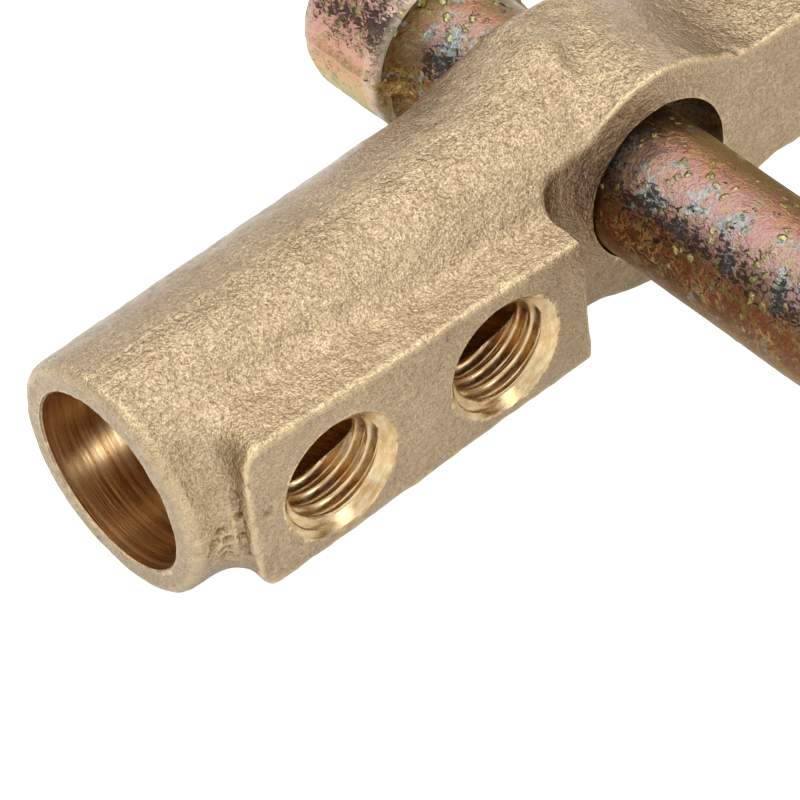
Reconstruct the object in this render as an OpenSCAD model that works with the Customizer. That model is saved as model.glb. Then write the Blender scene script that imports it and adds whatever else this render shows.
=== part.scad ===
// Sliding-arm earth clamp: a cast brass arm with a tubular cable socket slides
// on a plain forged steel bar. A second casting near the bar's -Y end carries the
// pressure screw, its swivel pad and a tommy bar.
// Units mm. +Z up, +X along the arm towards the jaw, bar and screw along Y.
// Origin: centre of the cable socket's mouth. The modules are drawn from the hub's
// centre, and each piece is moved out by the socket's reach at the end.

/* [Cable socket] */
// diameter of the plain bore for the stripped cable end
cable_bore_d = 15.8; // [14:0.1:16.4]
// distance from the bar hole to the open end of the socket
socket_reach = 50.8; // [48:0.1:58]
// depth of the cable bore from the open end
cable_bore_depth = 36.5; // [34:0.5:38]
// outside radius of the socket at its mouth
socket_mouth_r = 10.2; // [9.6:0.05:10.4]
// outside radius of the socket where it runs into the hub
socket_root_r = 10.45; // [10.2:0.05:10.6]
// distance of the clamping-screw pad's face from the centreline
pad_face = 12.25; // [11.8:0.05:13]
// distance of the outer clamping-screw hole from the bar hole
screw_far = 38.0; // [37:0.1:39]
// distance of the inner clamping-screw hole from the bar hole
screw_near = 21.4; // [20:0.1:22]
// core diameter of the two tapped holes
screw_core_d = 8.4; // [8:0.1:8.8]
// diameter of the countersunk rim of the tapped holes
screw_rim_d = 11.1; // [10.2:0.1:11.4]

/* [Hub and bar] */
// outside radius of the hub round the bar hole
hub_r = 10.6; // [10.2:0.1:12]
// width of the hub along the bar
hub_w = 13.1; // [12:0.1:15]
// diameter of the loose hole the bar runs in
bar_hole_d = 14.1; // [14:0.1:14.6]
// diameter of the slide bar
bar_d = 12.0; // [11.6:0.1:12]
// diameter of the bar's forged head
head_d = 16.3; // [15.6:0.1:18]
// length of the bar's forged head
head_len = 10.1; // [8:0.1:12]
// distance from the arm's centreline to the far end of the bar
bar_reach = 133; // [132:1:136]

/* [Jaw and screw] */
// distance from the bar hole to the screw axis
throat = 52; // [50:0.5:54]
// half height of the arm between hub and jaw
arm_half_h = 6.5; // [6:0.1:7.5]
// diameter of the screw thread
screw_d = 14.0; // [13:0.1:14]
// radial play of the screw in its nut thread
screw_play = 0.06; // [0.03:0.01:0.1]
// outside radius of the nut boss
boss_r = 12.5; // [11.5:0.1:14]
// diameter of the swivel pad
pad_d = 24; // [22:0.5:28]
// diameter of the tommy bar
tommy_d = 8.0; // [7:0.1:8.2]
// distance between the two heads of the tommy bar
tommy_len = 86; // [70:1:100]

/* [Hidden] */
$fn = 96;
hub_centre = [socket_reach, 0, 0];
bar_x = -0.93;              // the bar lies against the cable side of its hole
bar_z = -0.25;
bar_r = bar_d / 2;
hub_half_w = hub_w / 2;
screw_r = screw_d / 2;
over = 1;                   // how far cutters run out past a face
hair = 0.01;                // the same, for conical and vee cutters

shoe_y = -14;               // contact face of the shoe
shoe_t = 5;
seat_y = shoe_y + shoe_t;   // face the shoe sits on
shoe_half = 12;             // half side of the square shoe and its seat
shoe_screw_dx = 7.8;        // shoe screws either side of the vee
shoe_screw_xs = [throat - shoe_screw_dx, throat + shoe_screw_dx];

pad_y = -84;                // pressing face of the pad, screw drawn back
ball_r = 3;
ball_y = pad_y - 5;
ball_seat_r = ball_r + 0.06;
ring_y = ball_y - 3.2;      // middle of the snap ring and its groove

carrier_y = -122;           // middle of the screw carrier
pin_y = carrier_y;
tail_y = -171;              // end of the screw thread at the head
cross_y = -183;             // tommy bar hole
tommy_r = tommy_d / 2;
tommy_half = tommy_len / 2;
tommy_end_r = tommy_r - 1;  // turned-down end under the collar

brass = [0.72, 0.57, 0.33];
copper = [0.80, 0.47, 0.33];
bar_steel = [0.70, 0.60, 0.45];
screw_steel = [0.70, 0.62, 0.42];
shoe_screw_steel = [0.62, 0.60, 0.50];
pin_steel = [0.45, 0.45, 0.47];
ball_steel = [0.75, 0.76, 0.78];
ring_steel = [0.35, 0.35, 0.36];

// ---------------------------------------------------------------- helpers
// solid of revolution about X (points are [radius, x])
module revolve_x(points) {
    rotate([0, 90, 0]) rotate_extrude() polygon(points);
}

// solid of revolution about the line x, z parallel to Y (points are [radius, y])
module revolve_y(x, z, points) {
    translate([x, 0, z]) rotate([-90, 0, 0]) rotate_extrude() polygon(points);
}

// outline drawn in the XZ plane, standing from y0 to y1
module slab_y(y0, y1) {
    translate([0, y1, 0]) rotate([90, 0, 0]) linear_extrude(y1 - y0) children();
}

module cylinder_y(x, z, r, y0, y1) {
    translate([x, y0, z]) rotate([-90, 0, 0]) cylinder(r = r, h = y1 - y0);
}

// turns the Z axis of its children onto the tommy bar's axis, along X
module on_tommy_axis() {
    translate([throat, cross_y, 0]) rotate([0, 90, 0]) children();
}

// arc about (cx, cy) between two angles, as steps + 1 points
function arc(cx, cy, r, start, end, steps) =
    [for (i = [0:steps]) let (a = start + (end - start) * i / steps)
        [cx + r * cos(a), cy + r * sin(a)]];

// closes an upper edge with its mirror image below the centreline
function mirrored(edge) =
    concat(edge, [for (i = [len(edge) - 1:-1:0]) [edge[i][0], -edge[i][1]]]);

// [radius, y] profile of a disc from y0 to y1 with rounded rims
function rounded_disc(r, y0, y1, rim) = concat(
    [[0, y0]],
    arc(r - rim, y0 + rim, rim, -90, 0, 4),
    arc(r - rim, y1 - rim, rim, 0, 90, 4),
    [[0, y1]]);

// ---------------------------------------------------------------- brass arm
neck_x = -12.8;             // end of the socket's taper and of the pad
mouth_round = 1.5;
pad_low = 6.45;             // lower edge of the pad below the centreline
drill_cone = 2.6;           // height of the cone at the end of the cable bore
rim_depth = (screw_rim_d - screw_core_d) / 2 * 0.58;
shoe_tap_r = 2.04;
shoe_tap_depth = 9;

// upper edge [x, z] of the arm, from the hub to the rounded end of the jaw
arm_edge = concat(
    [[-1, 9.9], [3.9, 9.6], [6, 8.9], [8.1, 7.9], [10.2, 7.0],
     [12.4, arm_half_h + 0.1], [15.6, arm_half_h], [34, arm_half_h],
     [37, 7.6], [39.2, 9.8]],
    arc(throat - 9.6, 9.6, 2.4, 165, 90, 6),
    arc(throat + 9.2, 8.6, 3.4, 90, 0, 8));

// outline [x, z] of the pad for the clamping screws
pad_outline = concat(
    arc(-44.8, -pad_low + 1.2, 1.2, 180, 270, 4),
    arc(neck_x - 0.8, -pad_low + 0.8, 0.8, 270, 360, 4),
    [[neck_x, 5.9], [-13.4, 6.42], [-44.6, 8.3], [-45.4, 8.1], [-46, 7.4]]);

module arm_body() {
    // tapered socket, edge of the mouth rounded
    revolve_x(concat(
        [[0, -socket_reach]],
        arc(socket_mouth_r - mouth_round, -socket_reach + mouth_round, mouth_round, -80, 0, 6),
        [[socket_root_r, neck_x], [socket_root_r, -6], [0, -6]]));
    slab_y(-pad_face, -1) polygon(pad_outline);
    revolve_y(0, 0, rounded_disc(hub_r, -hub_half_w, hub_half_w, rim = 0.7));
    // neck that carries the round socket into the hub
    intersection() {
        revolve_x([[0, -14], [socket_root_r, -14], [socket_root_r, -1], [0, -1]]);
        slab_y(-hub_half_w, hub_half_w) translate([-14, -12]) square([14, 24]);
    }
    // arm and jaw
    slab_y(-hub_half_w, hub_half_w) polygon(mirrored(arm_edge));
    // raised seat of the contact shoe
    slab_y(seat_y, -hub_half_w + 0.5)
        translate([throat - shoe_half, -shoe_half]) square(2 * shoe_half);
}

module sliding_arm() {
    color(brass)
    difference() {
        union() arm_body();
        // -Y side faced off flush with the hub, from the pad's end to the arm
        translate([neck_x, -20, -15]) cube([40, 20 - hub_half_w, 30]);
        // cable bore with the drill's shallow cone
        revolve_x([
            [0, -socket_reach - over],
            [cable_bore_d / 2, -socket_reach - over],
            [cable_bore_d / 2, -socket_reach + cable_bore_depth],
            [0, -socket_reach + cable_bore_depth + drill_cone]]);
        // tapped holes into the bore, rims countersunk
        for (x = [-screw_far, -screw_near]) {
            cylinder_y(x, 0, screw_core_d / 2, -pad_face - over, 0);
            revolve_y(x, 0, [
                [0, -pad_face - hair],
                [screw_rim_d / 2, -pad_face - hair],
                [screw_core_d / 2, -pad_face + rim_depth],
                [0, -pad_face + 1]]);
        }
        // loose hole for the slide bar
        cylinder_y(0, 0, bar_hole_d / 2, -hub_half_w - over, hub_half_w + 6);
        // blind holes for the shoe screws
        for (x = shoe_screw_xs)
            cylinder_y(x, 0, shoe_tap_r, seat_y - over, seat_y + shoe_tap_depth);
    }
}

// ------------------------------------------------------------ contact shoe
shoe_corner = shoe_half - 1.2;  // where the bevelled corners begin
vee_half_w = 3.4;
vee_depth = 3.1;
shoe_hole_r = 2.15;
shoe_sink_r = 3.95;         // countersink at the contact face
shoe_sink_depth = 1.9;
shank_r = 2.0;
screw_head_r = 3.45;

// copper shoe with a vee for round work
module contact_shoe() {
    color(copper)
    difference() {
        slab_y(shoe_y, seat_y) polygon(mirrored([
            [throat - shoe_half, shoe_corner], [throat - shoe_corner, shoe_half],
            [throat + shoe_corner, shoe_half], [throat + shoe_half, shoe_corner]]));
        translate([throat, shoe_y, -15]) linear_extrude(30)
            polygon([[-vee_half_w, -hair], [0, vee_depth], [vee_half_w, -hair]]);
        for (x = shoe_screw_xs) {
            cylinder_y(x, 0, shoe_hole_r, shoe_y - over, seat_y + over);
            revolve_y(x, 0, [
                [0, shoe_y - hair],
                [shoe_sink_r, shoe_y - hair],
                [2.1, shoe_y + shoe_sink_depth],
                [0, shoe_y + shoe_sink_depth]]);
        }
    }
}

// countersunk screws with hexagon sockets
module shoe_screws() {
    color(shoe_screw_steel)
    for (x = shoe_screw_xs) difference() {
        revolve_y(x, 0, [
            [0, shoe_y + 0.25], [screw_head_r, shoe_y + 0.25],
            [screw_head_r, shoe_y + 0.4], [shank_r, shoe_y + 1.95],
            [shank_r, shoe_y + 12.4], [1.6, shoe_y + 12.9], [0, shoe_y + 12.9]]);
        translate([x, shoe_y, 0]) rotate([-90, 0, 0])
            cylinder(r = 1.44, h = 1.7, $fn = 6);
    }
}

// ------------------------------------------------------------ steel bar
head_r = head_d / 2;
head_rim_y = hub_half_w + 11.2;
head_end_y = head_rim_y + head_len;
cove_r = 2.0;
pin_r = 2.5;
pin_bore_r = 1.7;
pin_len = 20.6;
pin_slot_w = 0.8;

// cross hole of the retaining pin, cut through bar and carrier
module pin_hole() {
    translate([bar_x, pin_y, -20]) cylinder(r = pin_r + 0.02, h = 40);
}

module slide_bar() {
    color(bar_steel)
    difference() {
        revolve_y(bar_x, bar_z, concat(
            [[0, -bar_reach], [bar_r - 1, -bar_reach], [bar_r, -bar_reach + 1]],
            // concave cove under the head
            arc(bar_r + cove_r, head_rim_y - 2.9, cove_r, 180, 105, 7),
            arc(head_r - 0.9, head_rim_y + 0.1, 0.7, -60, 0, 4),
            [[head_r, head_rim_y + 2.5], [head_r - 0.05, head_end_y - 3.4]],
            arc(head_r - 3.15, head_end_y - 3.05, 3.05, 6, 80, 8),
            [[0, head_end_y]]));
        pin_hole();
    }
}

// slotted spring pin through casting and bar
module bar_pin() {
    color(pin_steel)
    translate([bar_x, pin_y, 0]) difference() {
        translate([0, 0, bar_z - pin_len / 2]) cylinder(r = pin_r, h = pin_len, $fn = 48);
        translate([0, 0, -20]) cylinder(r = pin_bore_r, h = 40, $fn = 48);
        translate([0, -pin_slot_w / 2, -20]) cube([4, pin_slot_w, 40]);
    }
}

// -------------------------------------------- casting that carries the screw
carrier_hub_r = hub_r + 0.2;
carrier_hub_half = 9;       // half its length along the bar
carrier_half_w = 7;         // half the arm's width along the bar
rib_half_h = 2.6;
boss_half = 13;             // half the boss's length along the screw
boss_y = carrier_y - 1;     // middle of the boss

// upper edge [x, z] of the carrier's arm, from the bar to the boss
carrier_edge = [
    [bar_x, 10.4], [bar_x + 4.4, 9.6], [bar_x + 7.6, 8.1], [bar_x + 11, 7.0],
    [15, 6.6], [36, 6.6], [39.4, 7.6], [42.6, 9.6],
    [throat, 11.6], [throat + 2, 11.6]];

module screw_carrier() {
    color(brass)
    difference() {
        union() {
            revolve_y(bar_x, bar_z, rounded_disc(carrier_hub_r,
                carrier_y - carrier_hub_half, carrier_y + carrier_hub_half, rim = 0.9));
            slab_y(carrier_y - carrier_half_w, carrier_y + carrier_half_w)
                polygon(mirrored(carrier_edge));
            // stiffening rib on the -Y side
            slab_y(carrier_y - 11, carrier_y - 6)
                polygon(mirrored([[3, rib_half_h], [throat - 8, rib_half_h]]));
            revolve_y(throat, 0,
                rounded_disc(boss_r, boss_y - boss_half, boss_y + boss_half, rim = 1));
        }
        cylinder_y(bar_x, bar_z, bar_r + 0.03, carrier_y - 30, carrier_y + 30);
        // nut thread, drawn at the size the screw's crests run in
        cylinder_y(throat, 0, screw_r + screw_play, carrier_y - 30, carrier_y + 30);
        // chamfer at each end of the nut thread
        for (side = [-1, 1]) {
            wide_y = boss_y + side * (boss_half + over + hair);
            narrow_y = boss_y + side * (boss_half - 0.2);
            revolve_y(throat, 0, [
                [0, wide_y], [screw_r + 1.2, wide_y], [screw_r, narrow_y], [0, narrow_y]]);
        }
        pin_hole();
    }
}

// ------------------------------------------------------------ pressure screw
spindle_head_r = 11;
collar_r = 8.2;             // plain length between head and thread
thread_root_r = screw_r - 1.3;
nose_neck_r = 4.2;
nose_r = 5.2;
nose_shoulder_y = ball_y - 7.2;
pad_socket_r = 5.9;         // recess the nose turns in
ring_groove_r = 6.25;
ring_groove_half = 0.7;

module thrust_ball() {
    color(ball_steel)
    revolve_y(throat, 0, arc(0, ball_y, ball_r, -90, 90, 24));
}

module spindle() {
    color(screw_steel)
    difference() {
        revolve_y(throat, 0, concat(
            // head
            [[0, cross_y - 10], [spindle_head_r - 1.6, cross_y - 10],
             [spindle_head_r, cross_y - 8.6], [spindle_head_r, cross_y + 8.2],
             [spindle_head_r - 1.2, cross_y + 9.4], [collar_r, cross_y + 10],
             // undercut and thread
             [collar_r, tail_y], [thread_root_r, tail_y + 0.6],
             [thread_root_r, tail_y + 3], [screw_r, tail_y + 4.2],
             [screw_r, ball_y - 8.4], [screw_r - 1.2, nose_shoulder_y],
             // nose
             [nose_neck_r, nose_shoulder_y], [nose_neck_r, ball_y - 2.2],
             [nose_r, ball_y - 2.2], [nose_r, ball_y - 0.9], [nose_r - 0.3, ball_y - 0.6],
             [ball_seat_r, ball_y - 0.6], [ball_seat_r, ball_y - 1.2]],
            // seat of the ball in the screw's nose
            arc(0, ball_y, ball_seat_r, -22, -85, 9),
            [[0, ball_y - ball_seat_r]]));
        // cross hole of the tommy bar
        on_tommy_axis() cylinder(r = tommy_r + 0.25, h = 40, center = true);
    }
}

module swivel_pad() {
    pad_r = pad_d / 2;
    color(screw_steel)
    revolve_y(throat, 0, concat(
        // outside, from the back edge to the pressing face
        [[pad_socket_r, pad_y - 11], [pad_r - 3.4, pad_y - 11],
         [pad_r - 2.6, pad_y - 10.2], [pad_r - 2.2, pad_y - 6.5],
         [pad_r - 0.6, pad_y - 4.2], [pad_r, pad_y - 3.4],
         [pad_r, pad_y - 0.8], [pad_r - 0.8, pad_y],
         // turned groove and central recess in the pressing face
         [8.6, pad_y], [8.0, pad_y - 0.7], [7.4, pad_y],
         [3.2, pad_y], [2.8, pad_y - 0.7], [0, pad_y - 0.7]],
        // pocket of the ball
        arc(0, ball_y, ball_seat_r, 90, 0, 9),
        // socket of the nose and groove of the wire ring
        [[ball_seat_r, ball_y + 0.5], [pad_socket_r, ball_y + 0.5],
         [pad_socket_r, ring_y + ring_groove_half],
         [ring_groove_r, ring_y + ring_groove_half],
         [ring_groove_r, ring_y - ring_groove_half],
         [pad_socket_r, ring_y - ring_groove_half]]));
}

// snap ring of round wire, open for 35 degrees
module pad_ring() {
    color(ring_steel)
    translate([throat, ring_y, 0]) rotate([-90, 0, 0]) rotate([0, 0, 20])
        rotate_extrude(angle = 325, $fn = 72)
            translate([5.55, 0]) circle(r = 0.6, $fn = 20);
}

// ------------------------------------------------------------ tommy bar
// bar with its own head at the +X end, turned down at the -X end
module tommy_bar() {
    color(bar_steel)
    on_tommy_axis() rotate_extrude() polygon(concat(
        [[0, -tommy_half - 5.6], [tommy_end_r - 0.4, -tommy_half - 5.6],
         [tommy_end_r, -tommy_half - 5.2], [tommy_end_r, -tommy_half],
         [tommy_r, -tommy_half]],
        arc(tommy_r + 1.2, tommy_half - 1.2, 1.2, 180, 90, 4),
        arc(tommy_r + 1.4, tommy_half + 0.6, 0.6, -90, 0, 3),
        arc(tommy_r - 0.6, tommy_half + 5.2, 2.6, 0, 80, 6),
        [[0, tommy_half + 7.8]]));
}

// ring pressed on the turned-down end of the tommy bar
module tommy_collar() {
    bore_r = tommy_end_r + 0.02;
    color(bar_steel)
    on_tommy_axis() rotate_extrude() polygon([
        [bore_r, -tommy_half - 5.0], [tommy_r + 0.6, -tommy_half - 5.0],
        [tommy_r + 1.6, -tommy_half - 4.2], [tommy_r + 2.0, -tommy_half - 3.0],
        [tommy_r + 2.0, -tommy_half - 0.6], [tommy_r + 1.5, -tommy_half - 0.05],
        [bore_r, -tommy_half - 0.05]]);
}

translate(hub_centre) sliding_arm();
translate(hub_centre) contact_shoe();
translate(hub_centre) shoe_screws();
translate(hub_centre) slide_bar();
translate(hub_centre) screw_carrier();
translate(hub_centre) bar_pin();
translate(hub_centre) thrust_ball();
translate(hub_centre) spindle();
translate(hub_centre) swivel_pad();
translate(hub_centre) pad_ring();
translate(hub_centre) tommy_bar();
translate(hub_centre) tommy_collar();
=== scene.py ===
"""Earthing clamp: a brass arm that slides on a forged steel bar, with a pressure screw.

The arm lies along X: the open cable socket at -X, the hub at the origin, the jaw at +X.
The slide bar runs along Y through the hub, its head at +Y. At its other end it holds the
screw carrier, whose pressure screw points along +Y at the jaw's contact shoe. Z is up.
Shapes are in millimetres from the hub's centre; meshes and materials are in metres.
"""
import math
from itertools import product

import bpy
import numpy as np
from mathutils import Matrix, Vector


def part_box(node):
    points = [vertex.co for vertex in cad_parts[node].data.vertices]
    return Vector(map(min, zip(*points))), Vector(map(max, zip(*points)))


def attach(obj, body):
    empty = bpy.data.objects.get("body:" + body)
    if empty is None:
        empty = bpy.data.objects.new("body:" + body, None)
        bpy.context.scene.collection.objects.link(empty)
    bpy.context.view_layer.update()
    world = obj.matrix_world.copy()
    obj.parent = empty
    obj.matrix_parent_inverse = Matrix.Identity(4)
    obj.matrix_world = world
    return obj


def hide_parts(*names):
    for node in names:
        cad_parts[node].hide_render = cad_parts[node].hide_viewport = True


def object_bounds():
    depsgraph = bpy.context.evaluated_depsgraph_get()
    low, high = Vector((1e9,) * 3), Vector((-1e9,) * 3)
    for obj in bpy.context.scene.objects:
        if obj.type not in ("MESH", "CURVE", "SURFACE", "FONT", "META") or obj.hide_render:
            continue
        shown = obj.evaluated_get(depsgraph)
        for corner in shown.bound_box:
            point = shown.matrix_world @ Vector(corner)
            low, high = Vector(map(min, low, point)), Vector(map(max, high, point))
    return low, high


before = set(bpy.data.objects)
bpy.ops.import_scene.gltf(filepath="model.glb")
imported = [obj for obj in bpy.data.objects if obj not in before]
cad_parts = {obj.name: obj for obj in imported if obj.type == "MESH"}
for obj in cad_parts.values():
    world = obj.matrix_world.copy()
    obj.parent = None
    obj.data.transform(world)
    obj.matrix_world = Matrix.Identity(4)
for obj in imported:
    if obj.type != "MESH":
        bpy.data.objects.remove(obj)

CAD_BOX = [[float(c) for c in v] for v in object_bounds()]
MM = 0.001

# --------------------------------------------------------------- dimensions
# hub centre in the CAD frame: the bar's axis lies BAR_SHIFT to its -X side
BAR_SHIFT = 0.93
_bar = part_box("slide_bar")
HUB_CENTRE = np.array([(_bar[0][0] + _bar[1][0]) * 500.0 + BAR_SHIFT, 0.0, 0.0])


def mm_box(node):
    """corners of a CAD piece's box, from the hub's centre"""
    low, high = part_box(node)
    return np.array(low) * 1000.0 - HUB_CENTRE, np.array(high) * 1000.0 - HUB_CENTRE


arm_lo, arm_hi = mm_box("sliding_arm")
bar_lo, bar_hi = mm_box("slide_bar")
carrier_lo, carrier_hi = mm_box("screw_carrier")
screw_lo, screw_hi = mm_box("spindle")
pad_lo, pad_hi = mm_box("swivel_pad")
tommy_lo, tommy_hi = mm_box("tommy_bar")
collar_lo, collar_hi = mm_box("tommy_collar")
shoe_lo, shoe_hi = mm_box("contact_shoe")
pin_lo, pin_hi = mm_box("bar_pin")
ball_lo, ball_hi = mm_box("thrust_ball")

MOUTH_X = arm_lo[0]                     # open end of the cable socket
TIP_X = arm_hi[0]                       # end of the jaw
PAD_FACE_Y = arm_lo[1]                  # face of the clamping-screw pad
CLAMP_SCREWS_X = (-38.0, -21.4)
HUB_HALF = 6.55                         # half thickness of hub and jaw along the bar
HUB_R = 10.6
SOCKET_BORE_R = 7.9
HUB_BORE_R = 7.05

BAR_X, _, BAR_Z = (bar_lo + bar_hi) / 2
BAR_R = 6.0
BAR_END_Y = bar_lo[1]
HEAD_R = (bar_hi[0] - bar_lo[0]) / 2
HEAD_END_Y = bar_hi[1]
HEAD_RIM_Y = HUB_HALF + 11.2            # side of the head that faces the hub

CARRIER_Y = (pin_lo[1] + pin_hi[1]) / 2  # the pin crosses the carrier's middle
CARRIER_LO_Y, CARRIER_HI_Y = carrier_lo[1], carrier_hi[1]
PIN_HOLE_R = 2.52

SCREW_X = (screw_lo[0] + screw_hi[0]) / 2
SCREW_PITCH = 3.0
SCREW_R = 6.98
SCREW_HEAD_R = 10.95
BALL_Y = (ball_lo[1] + ball_hi[1]) / 2
BALL_SEAT_R = 3.06
BOSS_R = carrier_hi[0] - SCREW_X
TOMMY_Y = (tommy_lo[1] + tommy_hi[1]) / 2
TOMMY_R = 4.0

SHOE_FACE_Y = shoe_lo[1]
SHOE_SEAT_Y = shoe_hi[1]
SHOE_SCREWS_X = (SCREW_X - 7.8, SCREW_X + 7.8)


# --------------------------------------------------------------- noise
def cell_hash(cells, seed):
    """repeatable random number in 0..1 for each whole-number cell"""
    mask = np.uint64(0xFFFFFFFF)
    factors = np.array([0x9E3779B1, 0x85EBCA77, 0xC2B2AE3D], np.uint64)
    mixed = (cells.astype(np.int64).astype(np.uint64) * factors) & mask
    n = np.bitwise_xor.reduce(mixed, axis=1)
    n ^= np.uint64((seed * 0x27D4EB2F + 0x165667B1) & 0xFFFFFFFF)
    n ^= n >> np.uint64(15)
    n = (n * np.uint64(0x2C1B3C6D)) & mask
    n ^= n >> np.uint64(12)
    n = (n * np.uint64(0x297A2D39)) & mask
    n ^= n >> np.uint64(15)
    return n.astype(np.float64) / 4294967295.0


def value_noise(points, wavelength, seed):
    """smooth noise in -1..1; the wavelength (mm) is one number or one per axis"""
    scaled = points / np.asarray(wavelength, float) + 31.7
    cells = np.floor(scaled)
    f = scaled - cells
    fade = f * f * f * (f * (f * 6 - 15) + 10)
    total = 0.0
    for corner in product((0, 1), repeat=3):
        wx, wy, wz = np.where(corner, fade, 1 - fade).T
        total = total + wx * wy * wz * cell_hash(cells + corner, seed)
    return total * 2 - 1


def rough_noise(points, wavelength, seed):
    """value noise with a weaker octave of half the wavelength on top"""
    weight = 0.55
    coarse = value_noise(points, wavelength, seed)
    return (coarse + weight * value_noise(points, wavelength / 2, seed + 17)) / (1 + weight)


def bumps(points, cell, r_min, r_max, keep, seed):
    """scattered round bumps, 0..1, one at most per cell"""
    base = np.floor(points / cell)
    out = np.zeros(len(points))
    for step in product((-1, 0, 1), repeat=3):
        c = base + step
        present = cell_hash(c, seed) < keep
        jitter = np.stack([cell_hash(c, seed + k) for k in (1, 2, 3)], 1)
        radius = r_min + (r_max - r_min) * cell_hash(c, seed + 4)
        distance = np.linalg.norm(points - (c + jitter) * cell, axis=1) / radius
        height = np.clip(1 - distance * distance, 0, 1) ** 1.5 * (radius / r_max)
        out = np.where(present, np.maximum(out, height), out)
    return out


def smoothstep(x, start, end):
    t = np.clip((x - start) / (end - start), 0, 1)
    return t * t * (3 - 2 * t)


# --------------------------------------------------------------- distance fields
def smooth_min(a, b, blend):
    h = np.clip(0.5 + 0.5 * (b - a) / blend, 0, 1)
    return b * (1 - h) + a * h - blend * h * (1 - h)


def smooth_max(a, b, blend):
    return -smooth_min(-a, -b, blend)


def rounded(u, v, r):
    """inside where u<0 and v<0, the edge between them rounded by r"""
    a, b = u + r, v + r
    return np.minimum(np.maximum(a, b), 0) + np.hypot(np.maximum(a, 0), np.maximum(b, 0)) - r


def span(value, low, high):
    """distance outside the interval low..high, negative within it"""
    return np.abs(value - (low + high) / 2) - (high - low) / 2


def surface_nets(field, low, high, step):
    """closed quad surface of field(points)=0 between two corners"""
    axes = [np.arange(low[k] - 2 * step, high[k] + 3 * step, step) for k in range(3)]
    size = [len(a) for a in axes]
    values = np.empty(size, np.float32)
    ys, zs = (a.ravel() for a in np.meshgrid(axes[1], axes[2], indexing="ij"))
    for i, x in enumerate(axes[0]):
        layer = field(np.stack([np.full(ys.shape, x), ys, zs], 1))
        values[i] = layer.reshape(size[1], size[2])
    inside = values < 0
    # a grid cell with corners on both sides of the surface gets one vertex
    count = np.zeros([k - 1 for k in size], np.int8)
    for corner in product((0, 1), repeat=3):
        count += inside[tuple(slice(d, n - 1 + d) for d, n in zip(corner, size))]
    active = (count > 0) & (count < 8)
    ids = -np.ones(active.shape, np.int64)
    cells = np.argwhere(active)
    ids[active] = np.arange(len(cells))
    # the vertex is the mean of the crossings on the cell's edges
    total = np.zeros((len(cells), 3))
    hits = np.zeros(len(cells))
    for axis in range(3):
        others = [a for a in range(3) if a != axis]
        for shift in product((0, 1), repeat=2):
            start = cells.copy()
            start[:, others] += shift
            end = start.copy()
            end[:, axis] += 1
            v0 = values[tuple(start.T)].astype(float)
            v1 = values[tuple(end.T)].astype(float)
            crossed = (v0 < 0) != (v1 < 0)
            t = np.where(crossed, v0 / np.where(crossed, v0 - v1, 1), 0)
            crossing = start.astype(float)
            crossing[:, axis] += t
            total[crossed] += crossing[crossed]
            hits[crossed] += 1
    points = total / hits[:, None] * step + np.array([a[0] for a in axes])
    # each crossed grid edge gets a quad through the four cells round it
    faces = []
    for axis in range(3):
        others = [a for a in range(3) if a != axis]
        near = [slice(1, n - 1) for n in size]
        near[axis] = slice(0, size[axis] - 1)
        far = list(near)
        far[axis] = slice(1, size[axis])
        first, second = inside[tuple(near)], inside[tuple(far)]
        edges = np.argwhere(first != second)
        leaving = first[tuple(edges.T)]
        edges[:, others] += 1
        quads = []
        for shift in ((0, 0), (-1, 0), (-1, -1), (0, -1)):
            cell = edges.copy()
            cell[:, others] += shift
            quads.append(ids[tuple(cell.T)])
        quads = np.stack(quads, 1)
        flip = leaving if axis == 1 else ~leaving
        quads[flip] = quads[flip][:, ::-1]
        faces.append(quads)
    return points, np.concatenate(faces)


def gradient(field, points, reach=0.02):
    slope = np.empty_like(points)
    for k in range(3):
        d = np.zeros(3)
        d[k] = reach
        slope[:, k] = (field(points + d) - field(points - d)) / (2 * reach)
    return slope


def unit(vectors):
    return vectors / np.maximum(np.linalg.norm(vectors, axis=1, keepdims=True), 1e-6)


def field_surface(field, low, high, step, rounds=3):
    """points, normals and quads of a field's surface, the quads evened out along it"""
    points, quads = surface_nets(field, low, high, step)
    sides = [quads[:, [k, (k + 1) % 4]] for k in range(4)]
    edges = np.unique(np.sort(np.concatenate(sides), axis=1), axis=0)
    a, b = edges.T
    degree = np.bincount(edges.ravel(), minlength=len(points)).astype(float)[:, None]
    for _ in range(rounds):
        normals = unit(gradient(field, points))
        total = np.zeros_like(points)
        for k in range(3):
            total[:, k] = (np.bincount(a, points[b, k], len(points))
                           + np.bincount(b, points[a, k], len(points)))
        move = total / degree - points
        move -= normals * (move * normals).sum(1, keepdims=True)
        points = points + 0.5 * move
        # back onto the surface
        for _ in range(2):
            slope = gradient(field, points)
            excess = field(points) / np.maximum((slope * slope).sum(1), 0.25)
            points = points - slope * excess[:, None].clip(-0.2, 0.2)
    return points, unit(gradient(field, points)), quads


# --------------------------------------------------------------- meshes
def mesh_object(name, points, faces):
    """object from points and a list of face arrays, each of one face size"""
    mesh = bpy.data.meshes.new(name)
    sizes = np.concatenate([np.full(len(f), f.shape[1]) for f in faces])
    corners = np.concatenate([f.ravel() for f in faces]).astype(np.int32)
    starts = np.concatenate([[0], np.cumsum(sizes)[:-1]]).astype(np.int32)
    mesh.vertices.add(len(points))
    mesh.vertices.foreach_set("co", ((points + HUB_CENTRE) * MM).astype(np.float32).ravel())
    mesh.loops.add(len(corners))
    mesh.loops.foreach_set("vertex_index", corners)
    mesh.polygons.add(len(sizes))
    mesh.polygons.foreach_set("loop_start", starts)
    mesh.update(calc_edges=True)
    mesh.validate()
    obj = bpy.data.objects.new(name, mesh)
    bpy.context.scene.collection.objects.link(obj)
    return obj


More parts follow.
